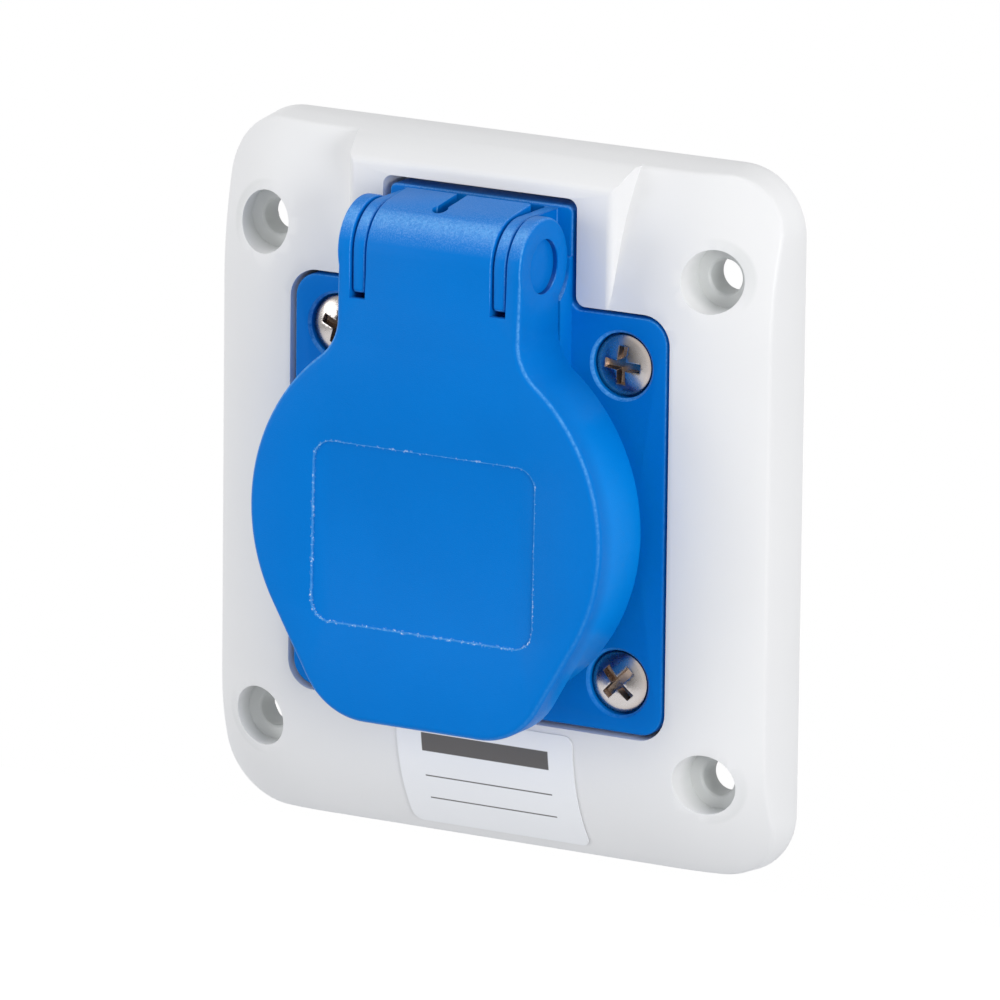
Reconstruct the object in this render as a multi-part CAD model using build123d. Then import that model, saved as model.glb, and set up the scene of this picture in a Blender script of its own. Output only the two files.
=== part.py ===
from build123d import *
import math
import os

os.makedirs("parts", exist_ok=True)

# Industrial panel socket: a blue sprung-lid mains socket screwed into a pale moulded flange plate.
# Frame: the front faces -Y, +X is to the right seen from the front, +Z is up.
# The origin is the centre of the four panel screws, on the back faces of their bosses.
# All sizes are millimetres. A value that ends in _Y is a place along the depth axis.

# Flange plate: outline, shell and its pillow-shaped front
PLATE_W = 75.0
PLATE_H = 85.0
PLATE_CORNER_R = 8.0
PLATE_FRONT = 8.3
PLATE_WALL = 2.4
HOLLOW_EAVE = 3.4
HOLLOW_SLOPE = 9.5
PLATE_DRAFT = 5.5
PLATE_EDGE_R = 0.9
SIDE_ROLL_W = 13.5
TOP_ROLL_W = 20.5
BOTTOM_ROLL_W = 16.5
SIDE_ROLL_R = 24.0
TOP_ROLL_R = 45.0
BOTTOM_ROLL_R = 24.0
GRID_STEP = 3.0
GRID_OVERHANG = 1.0
POCKET_WALL = 2.0
RIB_T = 1.6
RIB_PITCH = 19.0

# Panel screw holes and the gasket behind the plate
PANEL_INSET_X = 7.5
PANEL_INSET_Z = 12.5
PANEL_HOLE_R = 2.1
PANEL_HEAD_R = 3.7
PANEL_FLOOR_T = 3.3
PANEL_CHAMFER = 0.25
PANEL_BOSS_WALL = 1.5
PANEL_GASKET_T = 2.3
PANEL_GASKET_HOLE_GAP = 1.4
GASKET_EDGE_GAP = 0.3

# Brow over the hinge
BROW_SIDE = 4.7
BROW_DRAFT = 14.0
BROW_LIP = 1.5
BROW_TOP_FRONT = 3.6
BROW_RIDGE_R = 1.2

# Square flange of the socket and its tab behind the hinge
FLANGE_SIZE = 49.9
FLANGE_T = 3.6
FLANGE_CORNER_R = 3.0
FLANGE_SET_BACK = 0.3
FLANGE_GAP = 0.5
FLANGE_EDGE_R = 0.4
FLANGE_GASKET_T = 1.5
TAB_TOP_INSET = 5.4
TAB_PROUD = 0.05
TAB_CORNER_R = 0.9
TAB_FOOT_R = 1.2
TAB_TOP_GAP = 0.95
TAB_SIDE_GAP = 0.72

# Screws that hold the flange in the plate
FIX_PITCH = 38.0
FIX_SHANK_R = 1.75
FIX_SHANK_LENGTH = 8.0
FIX_HEAD_R = 3.6
FIX_HEAD_T = 1.2
FIX_DOME = 0.85
FIX_HEAD_DEPTH = 0.65
FIX_HEAD_GAP = 0.3
FIX_RIM = 0.35
FIX_BOSS_WALL = 1.8
FIX_CROSS_W = 1.1
FIX_CROSS_R = 2.3
FIX_CROSS_DEPTH = 1.5
FIX_TURNS = (0.0, 20.0, 45.0, 4.0)

# Plug well, collar and rear body
WELL_R = 19.5
WELL_DEPTH = 17.5
COLLAR_RISE = 9.7
COLLAR_WALL = 1.5
INSERT_R = 20.3
REAR_WALL = 1.2
BODY_GAP = 0.5
BODY_LENGTH = 27.6
SNAP_LUG_RISE = 0.5
SNAP_LUG_W = 7.0
SNAP_LUG_T = 1.0

# Contact insert, contacts and terminals
FLOOR_T = 3.0
PIN_PITCH = 19.0
PIN_HOLE_R = 2.7
SLEEVE_BORE_R = 2.35
SLEEVE_WALL = 0.7
SLEEVE_SLOT_W = 0.6
SLEEVE_SLOT_LENGTH = 7.5
SPRING_RING_T = 0.3
SPRING_RING_W = 1.4
TOWER_WALL = 1.3
TOWER_LENGTH = 11.3
CONTACT_RIM_R = 4.5
CONTACT_RIM_T = 1.4
BARREL_R = 4.0
BARREL_LENGTH = 11.6
WIRE_BORE_R = 2.1
WIRE_BORE_DEPTH = 8.0
CARRIER_T = 2.8
CLAMP_SCREW_R = 1.25
CLAMP_SCREW_LENGTH = 3.2
CLAMP_SCREW_FROM_END = 4.2
CLAMP_SLOT_W = 0.6
CLAMP_SLOT_DEPTH = 0.8
EARTH_STRIP_T = 0.8
EARTH_STRIP_W = 5.0
EARTH_ARM_LENGTH = 13.0
EARTH_BULGE = 1.4
EARTH_TERMINAL_Z = -12.0
EARTH_RIVET_R = 1.4
CENTRE_BOSS_R = 2.4
CENTRE_SCREW_R = 1.2
CENTRE_SCREW_HEAD_R = 2.6
CENTRE_SCREW_LENGTH = 9.0

# Hinge
HINGE_DROP = 5.9
HINGE_OUT = 6.55
LUG_X = 9.37
LUG_T = 1.55
LUG_SIDE_GAP = 0.28
LUG_SHORTER = 0.2
LUG_FOOT = 4.7
LUG_TOE_R = 0.6
CHEEK_GAP = 0.35
CHEEK_FOOT_Z = 15.0
EAR_T = 1.8
HINGE_PIN_R = 1.25
COVE_GAP = 0.35
ROOF_REACH = 3.6
ROOF_RISE = 8.0
ROOF_T = 1.4
SPRING_ROOM_W = 10.4
NOTCH_X = -0.85
NOTCH_W = 1.4
NOTCH_LENGTH = 6.0
NOTCH_EYE_R = 0.95
CAP_R = 3.2
CAP_T = 0.4
CAP_SET_BACK = 0.6

# Lid spring
SPRING_COIL_R = 2.5
SPRING_WIRE_R = 0.4
SPRING_TURNS = 2.25
SPRING_PITCH = 2.0

# Lid
LID_OUT = 12.3
SKIRT_ROOM = 1.1
LID_SLOPE = 1.2
SKIRT_T = 1.4
SKIRT_GAP = 3.1
LID_EDGE_R = 0.9
NECK_FILLET_R = 6.0
SLOT_FOOT = 5.3
LIP_DROP = 24.6
LIP_SIDE_ANGLE = 30.0
LIP_CORNER_R = 9.0
LIP_T = 4.6
RECESS_W = 29.65
RECESS_H = 21.6
RECESS_Z = -2.2
RECESS_DEPTH = 0.25
RECESS_CORNER_R = 2.5
SEAL_T = 1.2
SEAL_W = 3.0
SEAL_RIB_T = 0.8
SEAL_RIB_RISE = 0.8

# Blank sticker under the lid
LABEL_W = 23.8
LABEL_H = 14.4
LABEL_X = 1.4
LABEL_T = 0.12
LABEL_FOOT_GAP = 1.85
LABEL_CORNER_R = 1.2
GLUE_GAP = 0.04

# Clearances between pieces of one body, and running fits
FIT = 0.1
THREAD_GAP = 0.05
PIN_FIT = 0.05

# Places along the depth, from the bosses' back faces
FLANGE_Y = FLANGE_SET_BACK - PLATE_FRONT
FLANGE_REAR_Y = FLANGE_Y + FLANGE_T
LEDGE_Y = FLANGE_REAR_Y + FLANGE_GASKET_T
PANEL_Y = PANEL_GASKET_T
HOLLOW_EAVE_Y = PANEL_Y - HOLLOW_EAVE
RIM_Y = FLANGE_Y - COLLAR_RISE
FLOOR_Y = RIM_Y + WELL_DEPTH
BODY_END_Y = FLANGE_Y + BODY_LENGTH
LID_Y = FLANGE_Y - LID_OUT
LID_INNER_Y = RIM_Y - SEAL_T
SKIRT_Y = FLANGE_Y - SKIRT_GAP
HINGE_Y = FLANGE_Y - HINGE_OUT
INSERT_REAR_Y = FLOOR_Y + FLOOR_T
TOWER_END_Y = INSERT_REAR_Y + TOWER_LENGTH
CARRIER_Y = TOWER_END_Y + CONTACT_RIM_T
CARRIER_END_Y = CARRIER_Y + CARRIER_T
BARREL_END_Y = CARRIER_Y + BARREL_LENGTH
CLAMP_Y = BARREL_END_Y - CLAMP_SCREW_FROM_END

# Sizes that follow from others
POCKET_SIZE = FLANGE_SIZE + 2 * FLANGE_GAP
POCKET_CORNER_R = FLANGE_CORNER_R + FLANGE_GAP
TAB_TOP_Z = PLATE_H / 2 - TAB_TOP_INSET
HINGE_Z = TAB_TOP_Z - HINGE_DROP
NOTCH_TOP_Z = TAB_TOP_Z + TAB_TOP_GAP
BODY_R = INSERT_R + FIT + REAR_WALL
PLATE_OPENING_R = BODY_R + BODY_GAP
LID_R = WELL_R + COLLAR_WALL + SKIRT_ROOM + SKIRT_T
BARREL_HINGE_R = LID_OUT - HINGE_OUT
ROOF_TOP_Z = HINGE_Z + (
    BARREL_HINGE_R + ROOF_REACH * math.sin(math.radians(ROOF_RISE))
) / math.cos(math.radians(ROOF_RISE))
ROOF_CORNER_R = math.hypot(ROOF_REACH, ROOF_TOP_Z - HINGE_Z)
LUG_R = BARREL_HINGE_R - LUG_SHORTER
SLOT_IN_X = LUG_X - LUG_T / 2 - LUG_SIDE_GAP
SLOT_OUT_X = LUG_X + LUG_T / 2 + LUG_SIDE_GAP
EAR_OUT_X = SLOT_OUT_X + EAR_T
TAB_W = 2 * (EAR_OUT_X + TAB_PROUD)
SWING_R = math.hypot(LUG_R, LUG_FOOT) + FIT
SEAL_OUTER_R = LID_R - SKIRT_T - FIT
SEAL_INNER_R = SEAL_OUTER_R - SEAL_W
SLEEVE_R = SLEEVE_BORE_R + SLEEVE_WALL
TOWER_BORE_R = SLEEVE_R + SPRING_RING_T + FIT
TOWER_R = TOWER_BORE_R + TOWER_WALL
PIN_PLACES = [(-PIN_PITCH / 2, 0), (PIN_PITCH / 2, 0)]
EARTH_PLACE = (0, EARTH_TERMINAL_Z)
PANEL_X = PLATE_W / 2 - PANEL_INSET_X
PANEL_Z = PLATE_H / 2 - PANEL_INSET_Z
PANEL_PLACES = [(x * PANEL_X, z * PANEL_Z) for x in (-1, 1) for z in (-1, 1)]
FIX_PLACES = [(x * FIX_PITCH / 2, z * FIX_PITCH / 2) for x in (-1, 1) for z in (-1, 1)]


def slab(outline, y0, y1, taper=0):
    """A front-view outline made solid between the depths y0 and y1; a taper narrows it forwards."""
    return extrude(Plane.XZ.offset(-y1) * outline, amount=y1 - y0, taper=taper)


def rod(radius, y0, y1, places=((0, 0),)):
    """Round bars along the depth axis, one at each place."""
    return slab(Sketch() + [Pos(x, z) * Circle(radius) for x, z in places], y0, y1)


def across(profile, x0, x1):
    """A side-view profile, drawn with depth to the right and height up, made solid from x0 to x1."""
    return extrude(Plane.YZ.offset(x0) * profile, amount=x1 - x0)


def cross_rod(radius, x0, x1, y=HINGE_Y, z=HINGE_Z):
    """A round bar along X, by default on the hinge axis."""
    return across(Pos(y, z) * Circle(radius), x0, x1)


def block(x0, x1, y0, y1, z0, z1):
    """A plain box between two corners."""
    return Pos((x0 + x1) / 2, (y0 + y1) / 2, (z0 + z1) / 2) * Box(x1 - x0, y1 - y0, z1 - z0)


def mouths(radius, rim, front_y, places):
    """Cones that break the front edges of round holes."""
    cone = Cone(radius, radius + rim, rim, rotation=(90, 0, 0))
    return Part() + [Pos(x, front_y + rim / 2, z) * cone for x, z in places]


def turned(points):
    """A profile of (radius, depth) points turned about the socket's own axis."""
    return revolve(make_face(Polyline([(r, y, 0) for r, y in points], close=True)), axis=Axis.Y)


def fall(distance, radius):
    """How far a roll of this radius has dropped, this far past where it starts."""
    if distance <= 0:
        return 0.0
    return radius - math.sqrt(radius * radius - distance * distance)


def front_depth(x, z):
    """The plate's front surface: flat in the middle, rolled back at the sides, top and bottom."""
    sides = fall(abs(x) - PLATE_W / 2 + SIDE_ROLL_W, SIDE_ROLL_R)
    top = fall(z - PLATE_H / 2 + TOP_ROLL_W, TOP_ROLL_R)
    bottom = fall(-z - PLATE_H / 2 + BOTTOM_ROLL_W, BOTTOM_ROLL_R)
    return -PLATE_FRONT + sides + top + bottom


def pillow():
    """Everything behind the plate's front surface."""
    columns = math.ceil(PLATE_W / 2 / GRID_STEP)
    rows = math.ceil(PLATE_H / 2 / GRID_STEP)
    across_x = [i / columns * (PLATE_W / 2 + GRID_OVERHANG) for i in range(-columns, columns + 1)]
    up_z = [j / rows * (PLATE_H / 2 + GRID_OVERHANG) for j in range(-rows, rows + 1)]
    grid = [[Vector(x, front_depth(x, z), z) for z in up_z] for x in across_x]
    surface = Face.make_surface_from_array_of_points(grid, tol=0.005, max_deg=3)
    return extrude(surface, amount=3 * PLATE_FRONT, dir=(0, 1, 0))


def flange_outline(grow=0.0, side_grow=0.0, top_grow=0.0):
    """The square flange with its tab, grown by a clearance all round, at the tab's sides and on its top."""
    size = FLANGE_SIZE + 2 * grow
    tab_half = TAB_W / 2 + side_grow
    tab_low = -FLANGE_SIZE / 4
    tab_high = TAB_TOP_Z + top_grow
    tab = Pos(0, (tab_low + tab_high) / 2) * RectangleRounded(
        2 * tab_half, tab_high - tab_low, TAB_CORNER_R + side_grow / 2
    )
    outline = RectangleRounded(size, size, FLANGE_CORNER_R + grow) + tab
    tab_sides = [v for v in outline.vertices() if abs(abs(v.X) - tab_half) < 0.01]
    return fillet([v for v in tab_sides if 0 < v.Y < size / 2 + 0.01], TAB_FOOT_R)


def plate_outline(inset=0.0):
    """The plate's outline at its back plane."""
    return RectangleRounded(PLATE_W - 2 * inset, PLATE_H - 2 * inset, PLATE_CORNER_R - inset / 2)


def brow():
    """The raised flat over the hinge, with leaning sides, which runs out into the plate's top edge."""
    half = TAB_W / 2 + TAB_SIDE_GAP + BROW_SIDE
    ridge_z = NOTCH_TOP_Z + BROW_LIP
    top_z = PLATE_H / 2
    profile = Polyline(
        [(-PLATE_FRONT, 0), (-PLATE_FRONT, ridge_z), (-BROW_TOP_FRONT, top_z), (0, top_z), (0, 0)],
        close=True,
    )
    raised = across(make_face(profile), -PLATE_W, PLATE_W)
    foot_half = half + PLATE_FRONT * math.tan(math.radians(BROW_DRAFT))
    raised &= slab(Rectangle(2 * foot_half, 2 * PLATE_H), -PLATE_FRONT, 0, taper=BROW_DRAFT)
    front = raised.faces().sort_by(Axis.Y)[0]
    return fillet([e for e in front.edges() if e.center().Z > 1], BROW_RIDGE_R)


def plate_hollow():
    """The space behind the plate's skin, between its rim, the pocket wall, the bosses and the ribs."""
    half_h = PLATE_H / 2 - PLATE_WALL
    roof_y = -PLATE_FRONT + PLATE_WALL
    room = slab(plate_outline(PLATE_WALL), HOLLOW_EAVE_Y, PANEL_Y)
    eave = Plane.XZ.offset(-HOLLOW_EAVE_Y) * plate_outline(PLATE_WALL)
    crown = Plane.XZ.offset(-roof_y) * plate_outline(PLATE_WALL + HOLLOW_SLOPE)
    room += loft([eave, crown])
    pocket = flange_outline(FLANGE_GAP + POCKET_WALL, TAB_SIDE_GAP + POCKET_WALL, TAB_TOP_GAP + POCKET_WALL)
    kept = slab(pocket, -PLATE_FRONT, 0)
    kept += rod(PANEL_HEAD_R + PANEL_BOSS_WALL, -PLATE_FRONT, 0, PANEL_PLACES)
    brow_half = TAB_W / 2 + TAB_SIDE_GAP + BROW_SIDE
    kept += block(-brow_half, brow_half, -PLATE_FRONT, 0, FLANGE_SIZE / 2, half_h)
    for step in (-1, 0, 1):
        place = step * RIB_PITCH
        kept += block(-PLATE_W / 2, PLATE_W / 2, -PLATE_FRONT, 0, place - RIB_T / 2, place + RIB_T / 2)
        kept += block(place - RIB_T / 2, place + RIB_T / 2, -PLATE_FRONT, 0, -PLATE_H / 2, 0)
    return room - kept


def flange_plate():
    """The pale moulded plate: a shell with a pillow front, a brow, a pocket and four screw holes."""
    outside = slab(plate_outline(), -PLATE_FRONT - 1, PANEL_Y, taper=PLATE_DRAFT)
    skin = pillow() & outside
    front = skin.faces().sort_by(Axis.Y)[0]
    skin = fillet(front.outer_wire().edges(), PLATE_EDGE_R)
    body = skin + (brow() & outside)
    body -= plate_hollow()
    body -= slab(flange_outline(FLANGE_GAP, TAB_SIDE_GAP, TAB_TOP_GAP), -PLATE_FRONT - 1, LEDGE_Y)
    body -= rod(PLATE_OPENING_R, LEDGE_Y - 1, PANEL_Y)
    body -= rod(PANEL_HEAD_R, -PLATE_FRONT - 1, -PANEL_FLOOR_T, PANEL_PLACES)
    body -= rod(PANEL_HOLE_R, -PLATE_FRONT, 1, PANEL_PLACES)
    body -= mouths(PANEL_HOLE_R, PANEL_CHAMFER, -PANEL_FLOOR_T, PANEL_PLACES)
    body += rod(FIX_SHANK_R + FIX_BOSS_WALL, 0, PANEL_Y, FIX_PLACES)
    return body - rod(FIX_SHANK_R + THREAD_GAP, LEDGE_Y - 1, PANEL_Y + 1, FIX_PLACES)


def panel_gasket():
    """The soft frame that seals the plate to the panel, flush with the plate's rim."""
    frame = slab(plate_outline(PLATE_WALL + GASKET_EDGE_GAP), 0, PANEL_Y)
    frame -= slab(RectangleRounded(POCKET_SIZE, POCKET_SIZE, POCKET_CORNER_R), 0, PANEL_Y)
    return frame - rod(PANEL_HOLE_R + PANEL_GASKET_HOLE_GAP, 0, PANEL_Y, PANEL_PLACES)


def flange_gasket():
    """The thin gasket between the socket's flange and the ledge in the plate."""
    sheet = slab(flange_outline(-FIT, -FIT, -FIT), FLANGE_REAR_Y, LEDGE_Y)
    sheet -= rod(PLATE_OPENING_R, FLANGE_REAR_Y - 1, LEDGE_Y + 1)
    return sheet - rod(FIX_SHANK_R + 2 * FIT, FLANGE_REAR_Y - 1, LEDGE_Y + 1, FIX_PLACES)


def hinge_lugs():
    """Two narrow lugs that carry the hinge pin in front of the tab."""
    back_y = FLANGE_Y + FLANGE_T / 2
    front_y = HINGE_Y - LUG_R
    root = Pos((HINGE_Y + back_y) / 2, HINGE_Z + LUG_R / 2) * Rectangle(back_y - HINGE_Y, LUG_R)
    toe = Pos((front_y + back_y) / 2, HINGE_Z - LUG_FOOT / 2) * Rectangle(back_y - front_y, LUG_FOOT)
    toe = fillet(toe.vertices().sort_by(Axis.X)[0:2].sort_by(Axis.Y)[0], LUG_TOE_R)
    profile = Pos(HINGE_Y, HINGE_Z) * Circle(LUG_R) + root + toe
    lugs = across(profile, LUG_X - LUG_T / 2, LUG_X + LUG_T / 2)
    return lugs + mirror(lugs, about=Plane.YZ)


def hinge_cheeks():
    """Two raised blocks behind the lid's neck that stiffen the lugs' feet."""
    front_y = SKIRT_Y + CHEEK_GAP
    cheek = block(LUG_X - LUG_T / 2, TAB_W / 2, front_y, FLANGE_Y + 1, CHEEK_FOOT_Z, HINGE_Z)
    return cheek + mirror(cheek, about=Plane.YZ)


def hinge_coves():
    """Hollows in the tab that the lid's ears and its roof turn in."""
    ears = cross_rod(BARREL_HINGE_R + COVE_GAP, LUG_X, TAB_W)
    middle_r = ROOF_CORNER_R + COVE_GAP
    middle = cross_rod(middle_r, -SLOT_IN_X - LUG_SIDE_GAP, SLOT_IN_X + LUG_SIDE_GAP)
    return ears + mirror(ears, about=Plane.YZ) + middle


def snap_lugs():
    """Four small lugs inside the rear mouth that hold the contact carrier in."""
    ring = turned(
        [
            (INSERT_R - SNAP_LUG_RISE, CARRIER_END_Y + FIT),
            (INSERT_R + 2 * FIT, CARRIER_END_Y + FIT),
            (INSERT_R + 2 * FIT, CARRIER_END_Y + FIT + SNAP_LUG_T + SNAP_LUG_RISE),
            (INSERT_R - SNAP_LUG_RISE, CARRIER_END_Y + FIT + SNAP_LUG_T),
        ]
    )
    arms = block(-SNAP_LUG_W / 2, SNAP_LUG_W / 2, CARRIER_Y, BODY_END_Y + 1, -BODY_R, BODY_R)
    arms += block(-BODY_R, BODY_R, CARRIER_Y, BODY_END_Y + 1, -SNAP_LUG_W / 2, SNAP_LUG_W / 2)
    return ring & arms


def socket_housing():
    """The blue moulding: square flange, tab and lugs, collar, plug well and rear body."""
    flange = slab(flange_outline(), FLANGE_Y, FLANGE_REAR_Y)
    flange = fillet(flange.faces().sort_by(Axis.Y)[0].edges(), FLANGE_EDGE_R)
    body = flange + rod(WELL_R + COLLAR_WALL, RIM_Y, FLANGE_Y + 1)
    body += rod(BODY_R, FLANGE_Y + 1, BODY_END_Y)
    body += hinge_cheeks()
    body -= hinge_coves()
    body += hinge_lugs()
    body -= rod(WELL_R, RIM_Y - 1, FLOOR_Y)
    body -= rod(INSERT_R + FIT, FLOOR_Y, BODY_END_Y + 1)
    body -= cross_rod(HINGE_PIN_R + PIN_FIT, -TAB_W, TAB_W)
    head_seat_y = FLANGE_Y + FIX_HEAD_DEPTH + FIX_HEAD_T
    body -= rod(FIX_HEAD_R + FIX_HEAD_GAP, FLANGE_Y - 1, head_seat_y, FIX_PLACES)
    body -= mouths(FIX_HEAD_R + FIX_HEAD_GAP, FIX_RIM, FLANGE_Y, FIX_PLACES)
    body -= rod(FIX_SHANK_R + 2 * FIT, FLANGE_Y, FLANGE_REAR_Y + 1, FIX_PLACES)
    return body + snap_lugs()


def flange_screws():
    """Four raised-head screws with a cross recess that hold the flange in the plate."""
    edge_y = FLANGE_Y + FIX_HEAD_DEPTH
    seat_y = edge_y + FIX_HEAD_T
    crown_y = edge_y - FIX_DOME
    dome_r = (FIX_HEAD_R ** 2 + FIX_DOME ** 2) / (2 * FIX_DOME)
    half_way = (FIX_HEAD_R / 2, crown_y + fall(FIX_HEAD_R / 2, dome_r))
    dome = ThreePointArc((0, crown_y), half_way, (FIX_HEAD_R, edge_y))
    sides = Polyline(
        (FIX_HEAD_R, edge_y),
        (FIX_HEAD_R, seat_y),
        (FIX_SHANK_R, seat_y),
        (FIX_SHANK_R, seat_y + FIX_SHANK_LENGTH - FIX_SHANK_R),
        (0, seat_y + FIX_SHANK_LENGTH),
        (0, crown_y),
    )
    screw = revolve(make_face([dome, *sides.edges()]), axis=Axis.Y)
    bottom_y = crown_y + FIX_CROSS_DEPTH
    for half_x, half_z in ((FIX_CROSS_W / 2, FIX_CROSS_R), (FIX_CROSS_R, FIX_CROSS_W / 2)):
        screw -= block(-half_x, half_x, crown_y - 1, bottom_y, -half_z, half_z)
    turned_screws = [Rot(0, turn, 0) * screw for turn in FIX_TURNS]
    return Part() + [Pos(x, 0, z) * one for (x, z), one in zip(FIX_PLACES, turned_screws)]


def earth_slots(gap=0.0):
    """Where the earth clip's two arms pass the insert's floor."""
    outer = WELL_R - EARTH_BULGE
    slot = block(
        -EARTH_STRIP_W / 2 - gap,
        EARTH_STRIP_W / 2 + gap,
        FLOOR_Y - 1,
        INSERT_REAR_Y + 1,
        outer - EARTH_STRIP_T - gap,
        outer + gap,
    )
    return slot + mirror(slot, about=Plane.XY)


def contact_insert():
    """The well's floor, with two pin holes, the towers round the sleeves and a middle boss."""
    body = rod(INSERT_R, FLOOR_Y, INSERT_REAR_Y)
    body += rod(TOWER_R, INSERT_REAR_Y - 1, TOWER_END_Y, PIN_PLACES)
    body += rod(CENTRE_BOSS_R, INSERT_REAR_Y - 1, CARRIER_Y)
    body -= rod(PIN_HOLE_R, FLOOR_Y - 1, INSERT_REAR_Y + 1, PIN_PLACES)
    body -= rod(TOWER_BORE_R, INSERT_REAR_Y, TOWER_END_Y + 1, PIN_PLACES)
    body -= rod(CENTRE_SCREW_R + THREAD_GAP, CARRIER_END_Y - CENTRE_SCREW_LENGTH - 1, CARRIER_END_Y)
    return body - earth_slots(FIT)


def barrel_with_bores(start_y):
    """A terminal barrel on the Y axis, with its wire bore and the thread for its clamp screw below."""
    barrel = rod(BARREL_R, start_y, BARREL_END_Y)
    barrel -= rod(WIRE_BORE_R, BARREL_END_Y - WIRE_BORE_DEPTH, BARREL_END_Y + 1)
    thread = Pos(0, CLAMP_Y, -BARREL_R / 2) * Cylinder(CLAMP_SCREW_R + THREAD_GAP, BARREL_R)
    return barrel - thread


def pin_contact(place):
    """A turned sleeve for one plug pin, with a rim behind its tower and a terminal barrel."""
    sleeve_y = INSERT_REAR_Y + FIT
    body = rod(SLEEVE_R, sleeve_y, TOWER_END_Y + FIT)
    body += rod(CONTACT_RIM_R, TOWER_END_Y, CARRIER_Y)
    body += barrel_with_bores(CARRIER_Y - FIT)
    body -= rod(SLEEVE_BORE_R, sleeve_y - 1, TOWER_END_Y - 1)
    slot_end_y = sleeve_y + SLEEVE_SLOT_LENGTH
    for half_x, half_z in ((SLEEVE_SLOT_W / 2, BARREL_R), (BARREL_R, SLEEVE_SLOT_W / 2)):
        body -= block(-half_x, half_x, sleeve_y - 1, slot_end_y, -half_z, half_z)
    return Pos(place[0], 0, place[1]) * body


def contact_springs():
    """Steel rings that close the sleeves' fingers."""
    ring_y = INSERT_REAR_Y + FIT + SPRING_RING_W
    rings = rod(SLEEVE_R + SPRING_RING_T, ring_y, ring_y + SPRING_RING_W, PIN_PLACES)
    return rings - rod(SLEEVE_R, ring_y - 1, ring_y + SPRING_RING_W + 1, PIN_PLACES)


def earth_clip():
    """One bent strip: a bridge behind the floor and two sprung arms in the well."""
    outer = WELL_R - EARTH_BULGE
    back_y = INSERT_REAR_Y + EARTH_STRIP_T
    tip_y = FLOOR_Y - EARTH_ARM_LENGTH
    bend_y = (FLOOR_Y + tip_y) / 2
    centre_line = Polyline(
        (INSERT_REAR_Y + EARTH_STRIP_T / 2, 0),
        (INSERT_REAR_Y + EARTH_STRIP_T / 2, outer - EARTH_STRIP_T / 2),
        (FLOOR_Y - 1, outer - EARTH_STRIP_T / 2),
        (bend_y, outer - EARTH_STRIP_T / 2 - EARTH_BULGE),
        (tip_y, outer - EARTH_STRIP_T / 2 + EARTH_BULGE / 2),
    )
    arm = across(trace(centre_line, EARTH_STRIP_T), -EARTH_STRIP_W / 2, EARTH_STRIP_W / 2)
    strip = arm + mirror(arm, about=Plane.XY)
    pad_r = CENTRE_BOSS_R + EARTH_STRIP_T + FIT
    strip += rod(pad_r, INSERT_REAR_Y, back_y)
    strip -= rod(CENTRE_BOSS_R + FIT, INSERT_REAR_Y - 1, back_y + 1)
    return strip - rod(EARTH_RIVET_R, INSERT_REAR_Y - 1, back_y + 1, [EARTH_PLACE])


def earth_terminal():
    """The earth barrel, riveted through the clip's bridge."""
    body = barrel_with_bores(INSERT_REAR_Y + EARTH_STRIP_T)
    body += rod(EARTH_RIVET_R - FIT / 2, INSERT_REAR_Y, INSERT_REAR_Y + EARTH_STRIP_T)
    return Pos(EARTH_PLACE[0], 0, EARTH_PLACE[1]) * body


def terminal_screws():
    """Slotted clamp screws, one in each barrel."""
    top = -WIRE_BORE_R - FIT
    screw = Pos(0, CLAMP_Y, top - CLAMP_SCREW_LENGTH / 2) * Cylinder(CLAMP_SCREW_R, CLAMP_SCREW_LENGTH)
    slot_z = top - CLAMP_SCREW_LENGTH
    slot_y = CLAMP_Y - CLAMP_SLOT_W / 2
    screw -= block(
        -CLAMP_SCREW_R, CLAMP_SCREW_R, slot_y, slot_y + CLAMP_SLOT_W, slot_z, slot_z + CLAMP_SLOT_DEPTH
    )
    return Part() + [Pos(x, 0, z) * screw for x, z in [*PIN_PLACES, EARTH_PLACE]]


def contact_carrier():
    """The disc that presses the contacts' rims onto their towers from behind."""
    body = rod(INSERT_R - FIT, CARRIER_Y, CARRIER_END_Y)
    body -= rod(BARREL_R + FIT, CARRIER_Y - 1, CARRIER_END_Y + 1, [*PIN_PLACES, EARTH_PLACE])
    return body - rod(CENTRE_SCREW_R + FIT, CARRIER_Y - 1, CARRIER_END_Y + 1)


def carrier_screw():
    """The middle screw that draws the carrier onto the insert."""
    head_t = CENTRE_SCREW_HEAD_R / 2
    screw = rod(CENTRE_SCREW_R, CARRIER_END_Y - CENTRE_SCREW_LENGTH, CARRIER_END_Y)
    head = rod(CENTRE_SCREW_HEAD_R, CARRIER_END_Y, CARRIER_END_Y + head_t)
    head = fillet(head.edges().sort_by(Axis.Y)[-1], head_t / 2)
    slot_half = CENTRE_SCREW_R / 4
    reach = CENTRE_SCREW_HEAD_R
    head -= block(-reach, reach, CARRIER_END_Y + head_t / 2, CARRIER_END_Y + head_t, -slot_half, slot_half)
    return screw + head


def lid_outline():
    """The lid seen from the front, without its lip: a disc with a neck up to the hinge."""
    neck_foot = LID_R / 2
    neck = Pos(0, (neck_foot + HINGE_Z) / 2) * Rectangle(2 * EAR_OUT_X, HINGE_Z - neck_foot)
    outline = Circle(LID_R) + neck
    meet_z = math.sqrt(LID_R ** 2 - EAR_OUT_X ** 2)
    corners = [v for v in outline.vertices() if abs(v.Y - meet_z) < 0.01]
    return fillet(corners, NECK_FILLET_R)


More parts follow.
